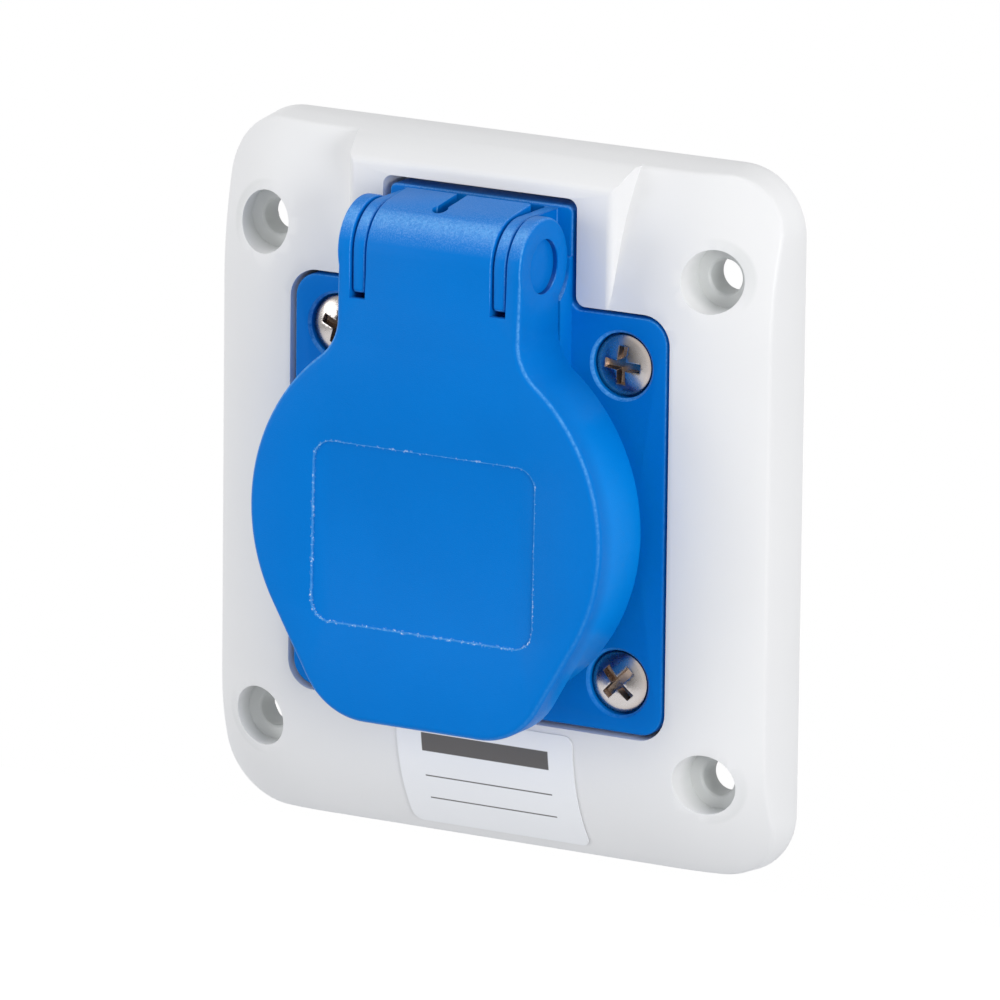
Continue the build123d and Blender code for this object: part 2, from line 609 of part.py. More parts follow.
def lip_outline():
    """The finger lip: two straight sides off the disc, round corners and a flat bottom."""
    side = math.radians(LIP_SIDE_ANGLE)
    tangent = (LID_R * math.cos(side), -LID_R * math.sin(side))
    corner_x = (LID_R - LIP_DROP * math.sin(side)) / math.cos(side)
    lip = make_face(
        Polyline(
            (-tangent[0], tangent[1]),
            (-corner_x, -LIP_DROP),
            (corner_x, -LIP_DROP),
            tangent,
            close=True,
        )
    )
    low = [v for v in lip.vertices() if v.Y < tangent[1] - 1]
    return fillet(low, LIP_CORNER_R)


def front_lean(z):
    """The depth of the lid's front at a height: it leans forwards, away from the hinge."""
    return LID_Y - math.tan(math.radians(LID_SLOPE)) * (HINGE_Z - z)


def behind_front(set_back=0.0):
    """Everything behind the lid's leaning front, set back by a little."""
    high = HINGE_Z + BARREL_HINGE_R
    low = -LID_R - LIP_DROP
    front = [(front_lean(z) + set_back, z) for z in (high, low)]
    profile = make_face(Polyline([*front, (0, low), (0, high)], close=True))
    return across(profile, -2 * LID_R, 2 * LID_R)


def lid_cavity():
    """The space inside the lid: the disc and the neck behind the front wall."""
    inside = Circle(LID_R - SKIRT_T)
    neck_foot = LID_R / 2
    neck_top = HINGE_Z - BARREL_HINGE_R
    inside += Pos(0, (neck_foot + neck_top) / 2) * Rectangle(2 * (EAR_OUT_X - SKIRT_T), neck_top - neck_foot)
    return slab(inside, LID_INNER_Y, SKIRT_Y + 1)


def lid_barrel():
    """The hinge end of the lid: ears, bearings and the roof over the spring."""
    barrel = cross_rod(BARREL_HINGE_R, -EAR_OUT_X, EAR_OUT_X)
    barrel = fillet(barrel.edges().filter_by(GeomType.CIRCLE), LID_EDGE_R / 2)
    rise = math.radians(ROOF_RISE)
    start = (HINGE_Y - BARREL_HINGE_R * math.sin(rise), HINGE_Z + BARREL_HINGE_R * math.cos(rise))
    rear = (HINGE_Y + ROOF_REACH, ROOF_TOP_Z)
    profile = Polyline([(HINGE_Y, HINGE_Z), start, rear, (HINGE_Y + ROOF_REACH, HINGE_Z)], close=True)
    return barrel + across(make_face(profile), -SLOT_IN_X, SLOT_IN_X)


def lid_barrel_cuts():
    """What is taken out of the hinge end: spring room, notch, slots, pin bore and cap seats."""
    half = SPRING_ROOM_W / 2
    room_r = BARREL_HINGE_R - ROOF_T
    behind_y = HINGE_Y + 2 * BARREL_HINGE_R
    cuts = cross_rod(room_r, -half, half)
    cuts += block(-half, half, HINGE_Y, behind_y, HINGE_Z - 2 * BARREL_HINGE_R, HINGE_Z + room_r)
    cuts += block(-half, half, LID_INNER_Y, behind_y, HINGE_Z - 2 * BARREL_HINGE_R, HINGE_Z - room_r / 2)
    over_z = HINGE_Z + 2 * BARREL_HINGE_R
    eye_y = HINGE_Y + ROOF_REACH - NOTCH_LENGTH + NOTCH_EYE_R
    cuts += block(NOTCH_X - NOTCH_W / 2, NOTCH_X + NOTCH_W / 2, eye_y, behind_y, HINGE_Z, over_z)
    cuts += Pos(NOTCH_X, eye_y, (HINGE_Z + over_z) / 2) * Cylinder(NOTCH_EYE_R, over_z - HINGE_Z)
    slot = block(SLOT_IN_X, SLOT_OUT_X, LID_Y - 2, behind_y, HINGE_Z - SLOT_FOOT, over_z)
    slot += cross_rod(SWING_R, SLOT_IN_X, SLOT_OUT_X)
    cuts += slot + mirror(slot, about=Plane.YZ)
    cuts += cross_rod(HINGE_PIN_R + FIT / 2, -EAR_OUT_X, EAR_OUT_X)
    seat = cross_rod(CAP_R + FIT / 2, EAR_OUT_X - CAP_T - CAP_SET_BACK, EAR_OUT_X + 1)
    return cuts + seat + mirror(seat, about=Plane.YZ)


def seal_rib():
    """The low ring inside the lid that keeps the seal in place."""
    outer = SEAL_INNER_R - FIT
    rise_y = LID_INNER_Y + SEAL_RIB_RISE
    ring = rod(outer, LID_INNER_Y - FIT, rise_y)
    return ring - rod(outer - SEAL_RIB_T, LID_INNER_Y - 1, rise_y + 1)


def lid():
    """The sprung lid: a shallow cap with a finger lip, a neck and its half of the hinge."""
    far_y = front_lean(-2 * LIP_DROP)
    cap = slab(lid_outline(), far_y, SKIRT_Y)
    cap += slab(lip_outline(), far_y, front_lean(-LIP_DROP) + LIP_T)
    cap &= behind_front()
    front = cap.faces().sort_by(Axis.Y)[0]
    rim = [e for e in front.edges() if e.center().Z < HINGE_Z - LID_EDGE_R]
    cap = fillet(rim, LID_EDGE_R)
    cap -= lid_cavity()
    recess = Pos(0, RECESS_Z) * RectangleRounded(RECESS_W, RECESS_H, RECESS_CORNER_R)
    cap -= slab(recess, far_y, LID_INNER_Y) - behind_front(RECESS_DEPTH)
    return cap + seal_rib() + lid_barrel() - lid_barrel_cuts()


def lid_seal():
    """The soft ring in the lid that closes onto the collar's rim."""
    ring = rod(SEAL_OUTER_R, LID_INNER_Y, RIM_Y)
    return ring - rod(SEAL_INNER_R, LID_INNER_Y - 1, RIM_Y + 1)


def hinge_pin():
    """The steel pin, held between the two caps."""
    half = EAR_OUT_X - CAP_SET_BACK - CAP_T
    return cross_rod(HINGE_PIN_R, -half, half)


def hinge_caps():
    """Two plastic discs that close the pin's bore in the ears."""
    outer = EAR_OUT_X - CAP_SET_BACK
    cap = cross_rod(CAP_R, outer - CAP_T, outer)
    return cap + mirror(cap, about=Plane.YZ)


def lid_spring():
    """The torsion spring round the pin: one leg in the tab's hollow, one under the lid's roof."""
    length = SPRING_TURNS * SPRING_PITCH
    start_angle = math.radians(-45)
    out = Vector(0, math.cos(start_angle), math.sin(start_angle))
    coil_plane = Plane(origin=(NOTCH_X, HINGE_Y, HINGE_Z), x_dir=out, z_dir=(1, 0, 0))
    path = coil_plane * Helix(SPRING_PITCH, length, SPRING_COIL_R, lefthand=True)
    section = Plane(origin=path @ 0, z_dir=path % 0) * RegularPolygon(SPRING_WIRE_R, 6)
    coil = sweep(section, path=path, is_frenet=True)
    tab_reach = ROOF_CORNER_R - SPRING_WIRE_R
    roof_reach = BARREL_HINGE_R - ROOF_T - SPRING_WIRE_R - FIT
    legs = Part()
    for end, reach, sign in ((0, tab_reach, -1), (1, roof_reach, 1)):
        length_of_leg = math.sqrt(reach ** 2 - SPRING_COIL_R ** 2)
        direction = (path % end) * sign
        legs += Plane(origin=path @ end, z_dir=direction) * extrude(
            RegularPolygon(SPRING_WIRE_R, 6), amount=length_of_leg
        )
    return coil + legs


def blank_label():
    """The thin sticker that follows the plate's lower front: flat above the roll's start, round below."""
    roll_z = BOTTOM_ROLL_W - PLATE_H / 2
    outer_r = BOTTOM_ROLL_R + GLUE_GAP + LABEL_T
    ring = Pos(-PLATE_FRONT + BOTTOM_ROLL_R, roll_z) * (Circle(outer_r) - Circle(outer_r - LABEL_T))
    ring &= Pos(0, roll_z - outer_r) * Rectangle(4 * outer_r, 2 * outer_r)
    flat = Pos(-PLATE_FRONT - GLUE_GAP - LABEL_T / 2, roll_z + LABEL_H / 2) * Rectangle(LABEL_T, LABEL_H)
    film = across(ring + flat, LABEL_X - LABEL_W / 2, LABEL_X + LABEL_W / 2)
    middle_z = LABEL_FOOT_GAP + LABEL_H / 2 - PLATE_H / 2
    sheet = Pos(LABEL_X, middle_z) * RectangleRounded(LABEL_W, LABEL_H, LABEL_CORNER_R)
    return film & slab(sheet, -PLATE_FRONT - 1, 0)


NODES = {
    "flange_plate": flange_plate,
    "panel_gasket": panel_gasket,
    "flange_gasket": flange_gasket,
    "socket_housing": socket_housing,
    "flange_screws": flange_screws,
    "contact_insert": contact_insert,
    "line_contact": lambda: pin_contact(PIN_PLACES[0]),
    "neutral_contact": lambda: pin_contact(PIN_PLACES[1]),
    "contact_springs": contact_springs,
    "earth_clip": earth_clip,
    "earth_terminal": earth_terminal,
    "terminal_screws": terminal_screws,
    "contact_carrier": contact_carrier,
    "carrier_screw": carrier_screw,
    "blank_label": blank_label,
    "lid": lid,
    "lid_seal": lid_seal,
    "hinge_pin": hinge_pin,
    "hinge_caps": hinge_caps,
    "lid_spring": lid_spring,
}

for name, make in NODES.items():
    export_step(make(), f"parts/{name}.step")
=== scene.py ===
import math

import bmesh
import bpy
from mathutils import Matrix, Vector

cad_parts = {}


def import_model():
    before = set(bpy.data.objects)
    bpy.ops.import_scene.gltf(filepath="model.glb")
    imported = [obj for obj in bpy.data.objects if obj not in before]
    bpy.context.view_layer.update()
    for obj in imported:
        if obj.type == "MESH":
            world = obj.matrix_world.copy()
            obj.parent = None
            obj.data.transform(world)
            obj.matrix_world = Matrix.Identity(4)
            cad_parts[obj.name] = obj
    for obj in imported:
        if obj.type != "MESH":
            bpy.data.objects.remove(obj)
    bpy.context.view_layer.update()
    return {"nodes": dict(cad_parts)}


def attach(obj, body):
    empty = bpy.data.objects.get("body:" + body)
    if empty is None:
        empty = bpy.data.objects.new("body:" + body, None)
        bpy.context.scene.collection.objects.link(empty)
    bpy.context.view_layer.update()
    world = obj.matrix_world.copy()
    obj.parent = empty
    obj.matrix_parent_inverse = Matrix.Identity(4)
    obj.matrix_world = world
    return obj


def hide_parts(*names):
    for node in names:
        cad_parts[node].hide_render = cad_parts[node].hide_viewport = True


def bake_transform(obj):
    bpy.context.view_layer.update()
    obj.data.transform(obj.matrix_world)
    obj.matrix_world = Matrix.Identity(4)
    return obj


# Looks of an industrial panel socket: blue sprung-lid socket in a pale moulded flange plate.
# Everything is in metres in the part's own frame: the front faces -Y and +Z is up.
# Only the places that a finish compares with object coordinates are in millimetres.

MM = 0.001

# Camera: where it stands and looks, fitted to the photograph, in radians and metres
CAMERA_TURN = 0.5153
CAMERA_TILT = 0.2417
CAMERA_ROLL = 0.0111
CAMERA_DISTANCE = 1474.05 * MM
CAMERA_SIDESTEP = 1.3553 * MM
CAMERA_RISE = 1.1459 * MM
CAMERA_LENS = 451.62
CAMERA_SENSOR = 36.0
CAMERA_NEAR = 0.05

# Studio: a floor that glows where it is looked at or mirrored, and the world's level and tint as light
FLOOR_DROP = 0.25
FLOOR_SIZE = 1.3
FLOOR_COLOUR = (0.44, 0.45, 0.47, 1)
FLOOR_ROUGHNESS = 0.9
FLOOR_GLOW = 0.70
WORLD_LEVEL = 0.70
WORLD_TINT = (0.975, 0.987, 1.0, 1)
WHITE = (1, 1, 1, 1)

# The dark part of the room that mirrors see: its level, its way and the cosines of its soft edge
ROOM_LEVEL = 0.03
ROOM_WAY = (-0.52, -0.84, -0.12)
ROOM_EDGE = (0.62, 0.93)

# Lamps: place and size in metres, and what each adds to a white surface that faces it
LAMPS = {
    "key_lamp": {"place": (0.62, -0.34, 0.09), "size": 0.26, "level": 0.42},
    "fill_lamp": {"place": (-0.90, -0.80, 0.13), "size": 0.55, "level": 0.26},
    "top_lamp": {"place": (0.03, -0.26, 0.85), "size": 0.16, "level": 0.09},
}

# Colours of the blue mouldings
BLUE_DEEP = (0.0, 0.168, 0.590, 1)
BLUE_LIGHT = (0.0, 0.187, 0.645, 1)
# Painted shade for the walls of the caps' bores
BLUE_PAINTED_SHADE = (0.0, 0.040, 0.260, 1)
# Painted light for the lid's skirt
BLUE_PAINTED_GLOW = (0.0, 0.235, 0.745, 1)
# Painted sheen for the hinge's upward faces
BLUE_PAINTED_SHEEN = (0.26, 0.48, 0.88, 1)
# Paler rounded edges: partly wear, partly a painted highlight
BLUE_WORN_HIGHLIGHT = (0.14, 0.45, 0.88, 1)
BLUE_PALE = (0.16, 0.50, 0.85, 1)
FLECK_WHITE = (0.80, 0.90, 0.95, 1)

# Colours of the plate, the screws, the turned brass and the label
PLATE_DARK = (0.792, 0.791, 0.796, 1)
PLATE_LIGHT = (0.824, 0.823, 0.828, 1)
# Painted shade for the panel screws' recesses
PLATE_PAINTED_SHADE = (0.52, 0.545, 0.53, 1)
NICKEL_DARK = (0.50, 0.46, 0.44, 1)
NICKEL_LIGHT = (0.60, 0.56, 0.54, 1)
CROSS_BROWN = (0.34, 0.25, 0.19, 1)
BRASS_DARK = (0.66, 0.44, 0.16, 1)
BRASS_LIGHT = (0.76, 0.53, 0.22, 1)
FILM_DARK = (0.850, 0.860, 0.885, 1)
FILM_LIGHT = (0.885, 0.893, 0.912, 1)
INK = (0.055, 0.048, 0.045, 1)

# Middle colours of the simple finishes, and how far each drifts to either side
RUBBER_BLACK = (0.035, 0.035, 0.038)
SCREW_GREY = (0.62, 0.58, 0.55)
INSERT_GREY = (0.55, 0.56, 0.56)
STRIP_BRASS = (0.70, 0.48, 0.19)
SPRING_GREY = (0.52, 0.52, 0.52)
DRIFT = 0.08

# Noises: size of the grains in metres, detail and roughness
BLUE_GRAIN = (0.17 * MM, 3.0, 0.7)
BLUE_SPECK = (0.42 * MM, 4.0, 0.75)
BLUE_CLOUD = (9 * MM, 2.0, 0.5)
PLATE_GRAIN = (0.3 * MM, 3.0, 0.6)
PLATE_CLOUD = (14 * MM, 2.0, 0.5)
NICKEL_GRAIN = (0.25 * MM, 3.0, 0.6)
NICKEL_CLOUD = (1.6 * MM, 3.0, 0.6)
BRASS_CLOUD = (3 * MM, 2.0, 0.5)
FILM_CLOUD = (5 * MM, 2.0, 0.5)
SIMPLE_CLOUD = (6 * MM, 2.0, 0.5)
SIMPLE_GRAIN_DETAIL = (3.0, 0.6)
BRASS_RINGS = {"Scale": 9.0, "Detail": 2.0}

# Roughness: its middle and how much a noise sways it
BLUE_ROUGHNESS = (0.36, 0.20)
PLATE_ROUGHNESS = (0.39, 0.12)
NICKEL_ROUGHNESS = (0.27, 0.20)
BRASS_ROUGHNESS = (0.28, 0.16)
SIMPLE_SWAY = 0.15
FILM_ROUGHNESS = 0.30
INK_ROUGHNESS = 0.25

# Bumps: depth in metres and strength
BLUE_BUMP = (0.05 * MM, 0.6)
PLATE_BUMP = (0.012 * MM, 0.35)
NICKEL_BUMP = (0.006 * MM, 0.4)
BRASS_BUMP = (0.006 * MM, 0.35)
SIMPLE_BUMP_STRENGTH = 0.4

# How strongly the plastics mirror
BLUE_SPECULAR = 0.06
PLATE_SPECULAR = 0.4

# Rounded edges are paler, partly from wear and partly a painted highlight: turns of a rounded edge, breaks
# along it and growth with height
EDGE_TURN_FROM = (0.44, 0.64)
EDGE_TURN_TO = (0.70, 0.88)
WORN_HIGHLIGHT_SPECK = (0.30, 0.66)
WORN_HIGHLIGHT_Z = (-4.0, 14.0)
WORN_HIGHLIGHT_LEAST = 0.25
WORN_HIGHLIGHT_MORE = 0.5

# Painted sheen, a painted highlight on the hinge's upward faces: how far a face looks up, from what height,
# and its grain
UP_FROM = (0.25, 0.60)
UP_TO = (0.80, 1.0)
UP_LOSS = 0.6
SHEEN_Z = (24.5, 28.0)
SHEEN_GRAIN = (0.46, 0.64)
SHEEN_LEAST = 0.12
SHEEN_MORE = 0.38

# Where the lid's skirt is painted paler, as painted light: depths and heights
SKIRT_GLOW_Y = (-19.6, -17.5)
SKIRT_GLOW_Z = (6.0, 20.0)

# The recess on the lid's front, seen from the front, and the depths between which the outside ends
RECESS_HALF_W = 14.825
RECESS_HALF_H = 10.8
RECESS_Z = -2.2
RECESS_CORNER_R = 2.5
OUTSIDE_Y = (-19.8, -19.5)

# The thin line along the recess: its half width, its breaks and its strength
LINE_AWAY = (0.03, 0.11)
LINE_SPECK = (0.40, 0.58)
LINE_LEAST = 0.2
LINE_MORE = 0.4

# The white flecks along the recess: how far they reach, their size, and the heights where they grow fewer
FLECK_AWAY = (0.08, 0.27)
FLECK_SPECK = (0.57, 0.66)
FLECK_Z = (-10.0, 0.0)
FLECK_LOSS = 0.45
FLECK_STRENGTH = 0.9

# The hinge: its axis, and the wall of the bore round each cap in the lid's ears, darkened by painted shade
HINGE_Y = -14.55
HINGE_Z = 31.2
CAP_R = 3.2
CAP_WALL = (0.06, 0.22)
CAP_INNER_X = (11.35, 11.5)
CAP_OUTER_X = (12.02, 12.14)
CAP_PAINTED_SHADE = 0.8

# The panel screws' holes: how far out they are, and where painted shade darkens their recesses
PANEL_HOLE = 30.0
PANEL_REACH = (4.7, 5.1)
PANEL_DEPTH_Y = (-6.2, -2.5)
PANEL_PAINTED_SHADE = 0.75

# Depths between which a screw's cross darkens
CROSS_DEPTH_Y = (-7.7, -6.9)
CROSS_SHADE = 0.9

# The label's band and two lines: middle and half width, heights under the label's top, and soft edge
LABEL_X = 1.4
RULE_HALF_W = 8.6
LABEL_TOP_Z = -26.25
RULES = ((4.6, 2.2), (7.9, 7.65), (10.9, 10.65))
INK_EDGE = 0.08
INK_STRENGTH = 0.94

# How a solid's copy is cleaned and softened, in metres and radians
MERGE_DISTANCE = 0.002 * MM
FLAT_ANGLE = math.radians(0.4)
CREASE_ANGLE = math.radians(32)
BEVEL_ANGLE = math.radians(40)
BEVEL_SEGMENTS = 2
SOFT_EDGE = 0.12 * MM
PLATE_SOFT_EDGE = 0.22 * MM
SCREW_SOFT_EDGE = 0.09 * MM

# Rounding of the lid's slots and the housing's lugs: where their walls stand in millimetres, and radii
SLOT_PLANES = (8.315, 10.425)
LUG_PLANES = (8.595, 10.145)
SLOT_EDGE_R = 0.26 * MM
LUG_EDGE_R = 0.30 * MM
HINGE_EDGE_SEGMENTS = 3

# What counts as an edge of such a wall: its distance from the plane, and the slants of its two faces
PLANE_REACH = 0.01
WALL_LEAST_X = 0.99
OUTER_MOST_X = 0.5
OUTER_LEAST = 0.3

# How far the label's film is raised, so that the plate's facets stay under it
LABEL_LIFT = 0.05 * MM


class Signal:
    """A shader socket that can stand in Python sums; each sum adds its Math node."""

    def __init__(self, nodes, socket):
        self.nodes = nodes
        self.socket = socket

    def output(self, place):
        """Another output of the same node."""
        return Signal(self.nodes, self.socket.node.outputs[place])

    def sum(self, operation, *terms):
        """The Math node of that operation."""
        return self.nodes.node("ShaderNodeMath", {"operation": operation}, dict(enumerate(terms)))

    def __add__(self, other):
        return self.sum("ADD", self, other)

    __radd__ = __add__

    def __sub__(self, other):
        return self.sum("SUBTRACT", self, other)

    def __rsub__(self, other):
        return self.sum("SUBTRACT", other, self)

    def __mul__(self, other):
        return self.sum("MULTIPLY", self, other)

    __rmul__ = __mul__

    def __pow__(self, other):
        return self.sum("POWER", self, other)

    def __abs__(self):
        return self.sum("ABSOLUTE", self)

    def at_least(self, other):
        return self.sum("MAXIMUM", self, other)

    def at_most(self, other):
        return self.sum("MINIMUM", self, other)


class Nodes:
    """Adds nodes to a tree and links them."""

    def __init__(self, tree):
        self.tree = tree

    def node(self, kind, settings=None, inputs=None, output=0):
        """One node of that kind; its settings come first, and its inputs are values or signals."""
        made = self.tree.nodes.new(kind)
        for name, value in (settings or {}).items():
            setattr(made, name, value)
        for name, value in (inputs or {}).items():
            self.feed(made.inputs[name], value)
        return Signal(self, made.outputs[output])

    def feed(self, socket, value):
        """Links a signal to a socket, or sets the socket to a plain value."""
        if isinstance(value, Signal):
            self.tree.links.new(value.socket, socket)
        else:
            socket.default_value = value

    def mix(self, factor, first, second):
        """A colour between two colours."""
        inputs = {"Factor": factor, 6: first, 7: second}
        return self.node("ShaderNodeMix", {"data_type": "RGBA"}, inputs, output=2)

    def parts(self, vector):
        """The three numbers of a vector."""
        first = self.node("ShaderNodeSeparateXYZ", inputs={0: vector})
        return first, first.output(1), first.output(2)


class Finish(Nodes):
    """A node material with one shader and the nodes that vary it over the surface."""

    def __init__(self, name):
        self.material = bpy.data.materials.new(name)
        self.material.use_nodes = True
        super().__init__(self.material.node_tree)
        self.shader = self.tree.nodes["Principled BSDF"]

    def set(self, **values):
        """Shader sockets by name, with underscores for spaces."""
        for name, value in values.items():
            self.feed(self.shader.inputs[name.replace("_", " ")], value)

    def where(self):
        """Object coordinates in metres."""
        return self.node("ShaderNodeTexCoord", output="Object")

    def axes(self):
        """The three object coordinates in millimetres."""
        return [part * (1 / MM) for part in self.parts(self.where())]

    def facing(self):
        """The three numbers of the way that the surface faces."""
        return self.parts(self.node("ShaderNodeTexCoord", output="Normal"))

    def noise(self, grain, detail, roughness):
        """Noise from 0 to 1 with grains of that size, in metres."""
        inputs = {"Vector": self.where(), "Scale": 1.0 / grain, "Detail": detail, "Roughness": roughness}
        return self.node("ShaderNodeTexNoise", inputs=inputs)

    def bump(self, height, depth, strength):
        """A normal from a height signal whose full range is that deep, in metres."""
        inputs = {"Height": height, "Distance": depth, "Strength": strength}
        return self.node("ShaderNodeBump", inputs=inputs, output="Normal")


def ramp(value, low, high):
    """0 below low, 1 above high and a straight slope between."""
    inputs = {"Value": value, "From Min": low, "From Max": high}
    return value.nodes.node("ShaderNodeMapRange", inputs=inputs)


def sway(pattern, middle, swing):
    """A value that follows a pattern about its middle."""
    return middle + (pattern - 0.5) * swing


def recess_distance(x, z):
    """Signed distance from the outline of the lid's recess, seen from the front."""
    out_x = abs(x) - (RECESS_HALF_W - RECESS_CORNER_R)
    out_z = abs(z - RECESS_Z) - (RECESS_HALF_H - RECESS_CORNER_R)
    corner = (out_x.at_least(0.0) ** 2 + out_z.at_least(0.0) ** 2) ** 0.5
    return corner + out_x.at_least(out_z).at_most(0.0) - RECESS_CORNER_R


def edge_turn(front):
    """1 where a face has turned about half way between the front and a side, as on a rounded front edge."""
    return ramp(front, *EDGE_TURN_FROM) * (1.0 - ramp(front, *EDGE_TURN_TO))


def upward(up):
    """1 on faces that look up, where a sheen is painted as if the eroded grain caught the light, and 0 on
    the front.
    """
    return ramp(up, *UP_FROM) * (1.0 - ramp(up, *UP_TO) * UP_LOSS)


def cap_bore_shade(x, y, z):
    """1 on the wall of the bore that the hinge's caps close, where shade is painted."""
    radius = ((y - HINGE_Y) ** 2 + (z - HINGE_Z) ** 2) ** 0.5
    wall = 1.0 - ramp(abs(radius - CAP_R), *CAP_WALL)
    side = abs(x)
    return wall * ramp(side, *CAP_INNER_X) * (1.0 - ramp(side, *CAP_OUTER_X))


def panel_recess_shade(x, y, z):
    """Painted shade: 1 deep in the four panel screws' recesses and 0 at their mouths."""
    radius = ((abs(x) - PANEL_HOLE) ** 2 + (abs(z) - PANEL_HOLE) ** 2) ** 0.5
    return (1.0 - ramp(radius, *PANEL_REACH)) * ramp(y, *PANEL_DEPTH_Y)


def lid_marks(finish, colour, speck):
    """Adds what only the lid has: painted light on the skirt, painted shade in the caps' bores, and the pale
    broken outline of the recess with its flecks.
    """
    x, y, z = finish.axes()
    # Painted light: the skirt is painted paler behind the front and low down
    skirt_glow = ramp(y, *SKIRT_GLOW_Y) * (1.0 - ramp(z, *SKIRT_GLOW_Z))
    colour = finish.mix(skirt_glow, colour, BLUE_PAINTED_GLOW)
    # Painted shade on the wall of each cap's bore
    colour = finish.mix(cap_bore_shade(x, y, z) * CAP_PAINTED_SHADE, colour, BLUE_PAINTED_SHADE)
    away = abs(recess_distance(x, z))
    outside = 1.0 - ramp(y, *OUTSIDE_Y)
    line = outside * (1.0 - ramp(away, *LINE_AWAY)) * (LINE_LEAST + ramp(speck, *LINE_SPECK) * LINE_MORE)
    colour = finish.mix(line, colour, BLUE_PALE)
    fewer = outside * (1.0 - ramp(z, *FLECK_Z) * FLECK_LOSS)
    fleck = (1.0 - ramp(away, *FLECK_AWAY)) * ramp(speck, *FLECK_SPECK) * fewer
    return finish.mix(fleck * FLECK_STRENGTH, colour, FLECK_WHITE)


def blue_plastic(name, is_lid=False):
    """Signal-blue moulding with a fine eroded grain, slightly paler edges from wear and a painted highlight,
    and a painted sheen on the hinge's upward faces.
    """
    finish = Finish(name)
    grain = finish.noise(*BLUE_GRAIN)
    speck = finish.noise(*BLUE_SPECK)
    z = finish.axes()[2]
    _, back, up = finish.facing()
    colour = finish.mix(finish.noise(*BLUE_CLOUD), BLUE_DEEP, BLUE_LIGHT)
    # Paler rounded edges, partly wear and partly a painted highlight, broken by specks and growing with
    # height
    worn_edge_highlight = edge_turn(back * -1.0) * ramp(speck, *WORN_HIGHLIGHT_SPECK) * (WORN_HIGHLIGHT_LEAST + ramp(z, *WORN_HIGHLIGHT_Z) * WORN_HIGHLIGHT_MORE)
    colour = finish.mix(worn_edge_highlight, colour, BLUE_WORN_HIGHLIGHT)
    # Painted sheen on upward faces near the hinge, broken by the grain
    painted_sheen = ramp(z, *SHEEN_Z) * upward(up) * (SHEEN_LEAST + ramp(grain, *SHEEN_GRAIN) * SHEEN_MORE)
    colour = finish.mix(painted_sheen, colour, BLUE_PAINTED_SHEEN)
    if is_lid:
        colour = lid_marks(finish, colour, speck)
    finish.set(
        Base_Color=colour,
        Roughness=sway(grain, *BLUE_ROUGHNESS),
        Normal=finish.bump(grain, *BLUE_BUMP),
        Specular_IOR_Level=BLUE_SPECULAR,
    )
    return finish.material


def plate_plastic():
    """Light grey satin moulding with a faint grain and painted shade deep in the panel screws' recesses."""
    finish = Finish("plate_plastic")
    grain = finish.noise(*PLATE_GRAIN)
    colour = finish.mix(finish.noise(*PLATE_CLOUD), PLATE_DARK, PLATE_LIGHT)
    # Painted shade deep in the panel screws' recesses
    shade = panel_recess_shade(*finish.axes()) * PANEL_PAINTED_SHADE
    finish.set(
        Base_Color=finish.mix(shade, colour, PLATE_PAINTED_SHADE),
        Roughness=sway(grain, *PLATE_ROUGHNESS),
        Normal=finish.bump(grain, *PLATE_BUMP),
        Specular_IOR_Level=PLATE_SPECULAR,
    )
    return finish.material


def plain(name, colour, roughness, metallic=0.0, grain=0.4, depth=0.01):
    """A simple finish: a colour that drifts a little and a fine grain, its size and depth in millimetres."""
    finish = Finish(name)
    fine = finish.noise(grain * MM, *SIMPLE_GRAIN_DETAIL)
    dark = [part * (1 - DRIFT) for part in colour]
    light = [part * (1 + DRIFT) for part in colour]
    finish.set(
        Base_Color=finish.mix(finish.noise(*SIMPLE_CLOUD), (*dark, 1), (*light, 1)),
        Roughness=sway(fine, roughness, SIMPLE_SWAY),
        Metallic=metallic,
        Normal=finish.bump(fine, depth * MM, SIMPLE_BUMP_STRENGTH),
    )
    return finish.material


def nickel():
    """Nickel plate, brown in the depth of the screw's cross."""
    finish = Finish("screw_nickel")
    fine = finish.noise(*NICKEL_GRAIN)
    cloud = finish.noise(*NICKEL_CLOUD)
    y = finish.axes()[1]
    colour = finish.mix(cloud, NICKEL_DARK, NICKEL_LIGHT)
    finish.set(
        Base_Color=finish.mix(ramp(y, *CROSS_DEPTH_Y) * CROSS_SHADE, colour, CROSS_BROWN),
        Metallic=1.0,
        Roughness=sway(cloud, *NICKEL_ROUGHNESS),
        Normal=finish.bump(fine, *NICKEL_BUMP),
    )
    return finish.material


def turned_brass():
    """Brass with the fine rings that a lathe leaves along the part's axis."""
    finish = Finish("turned_brass")
    y = finish.axes()[1]
    rings = finish.node("ShaderNodeTexNoise", {"noise_dimensions": "1D"}, {"W": y, **BRASS_RINGS})
    finish.set(
        Base_Color=finish.mix(finish.noise(*BRASS_CLOUD), BRASS_DARK, BRASS_LIGHT),
        Metallic=1.0,
        Roughness=sway(rings, *BRASS_ROUGHNESS),
        Normal=finish.bump(rings, *BRASS_BUMP),
    )
    return finish.material


def label_film():
    """Silvery white film with a plain band and two ruled lines."""
    finish = Finish("label_film")
    x, _, z = finish.axes()
    left, right = LABEL_X - RULE_HALF_W, LABEL_X + RULE_HALF_W
    across = ramp(x, left, left + INK_EDGE) * (1.0 - ramp(x, right - INK_EDGE, right))
    bars = []
    for drop_low, drop_high in RULES:
        low, high = LABEL_TOP_Z - drop_low, LABEL_TOP_Z - drop_high
        bars.append(across * ramp(z, low, low + INK_EDGE) * (1.0 - ramp(z, high - INK_EDGE, high)))
    ink = bars[0].at_least(bars[1]).at_least(bars[2])
    colour = finish.mix(finish.noise(*FILM_CLOUD), FILM_DARK, FILM_LIGHT)
    finish.set(
        Base_Color=finish.mix(ink * INK_STRENGTH, colour, INK),
        Roughness=FILM_ROUGHNESS + ink * INK_ROUGHNESS,
    )
    return finish.material


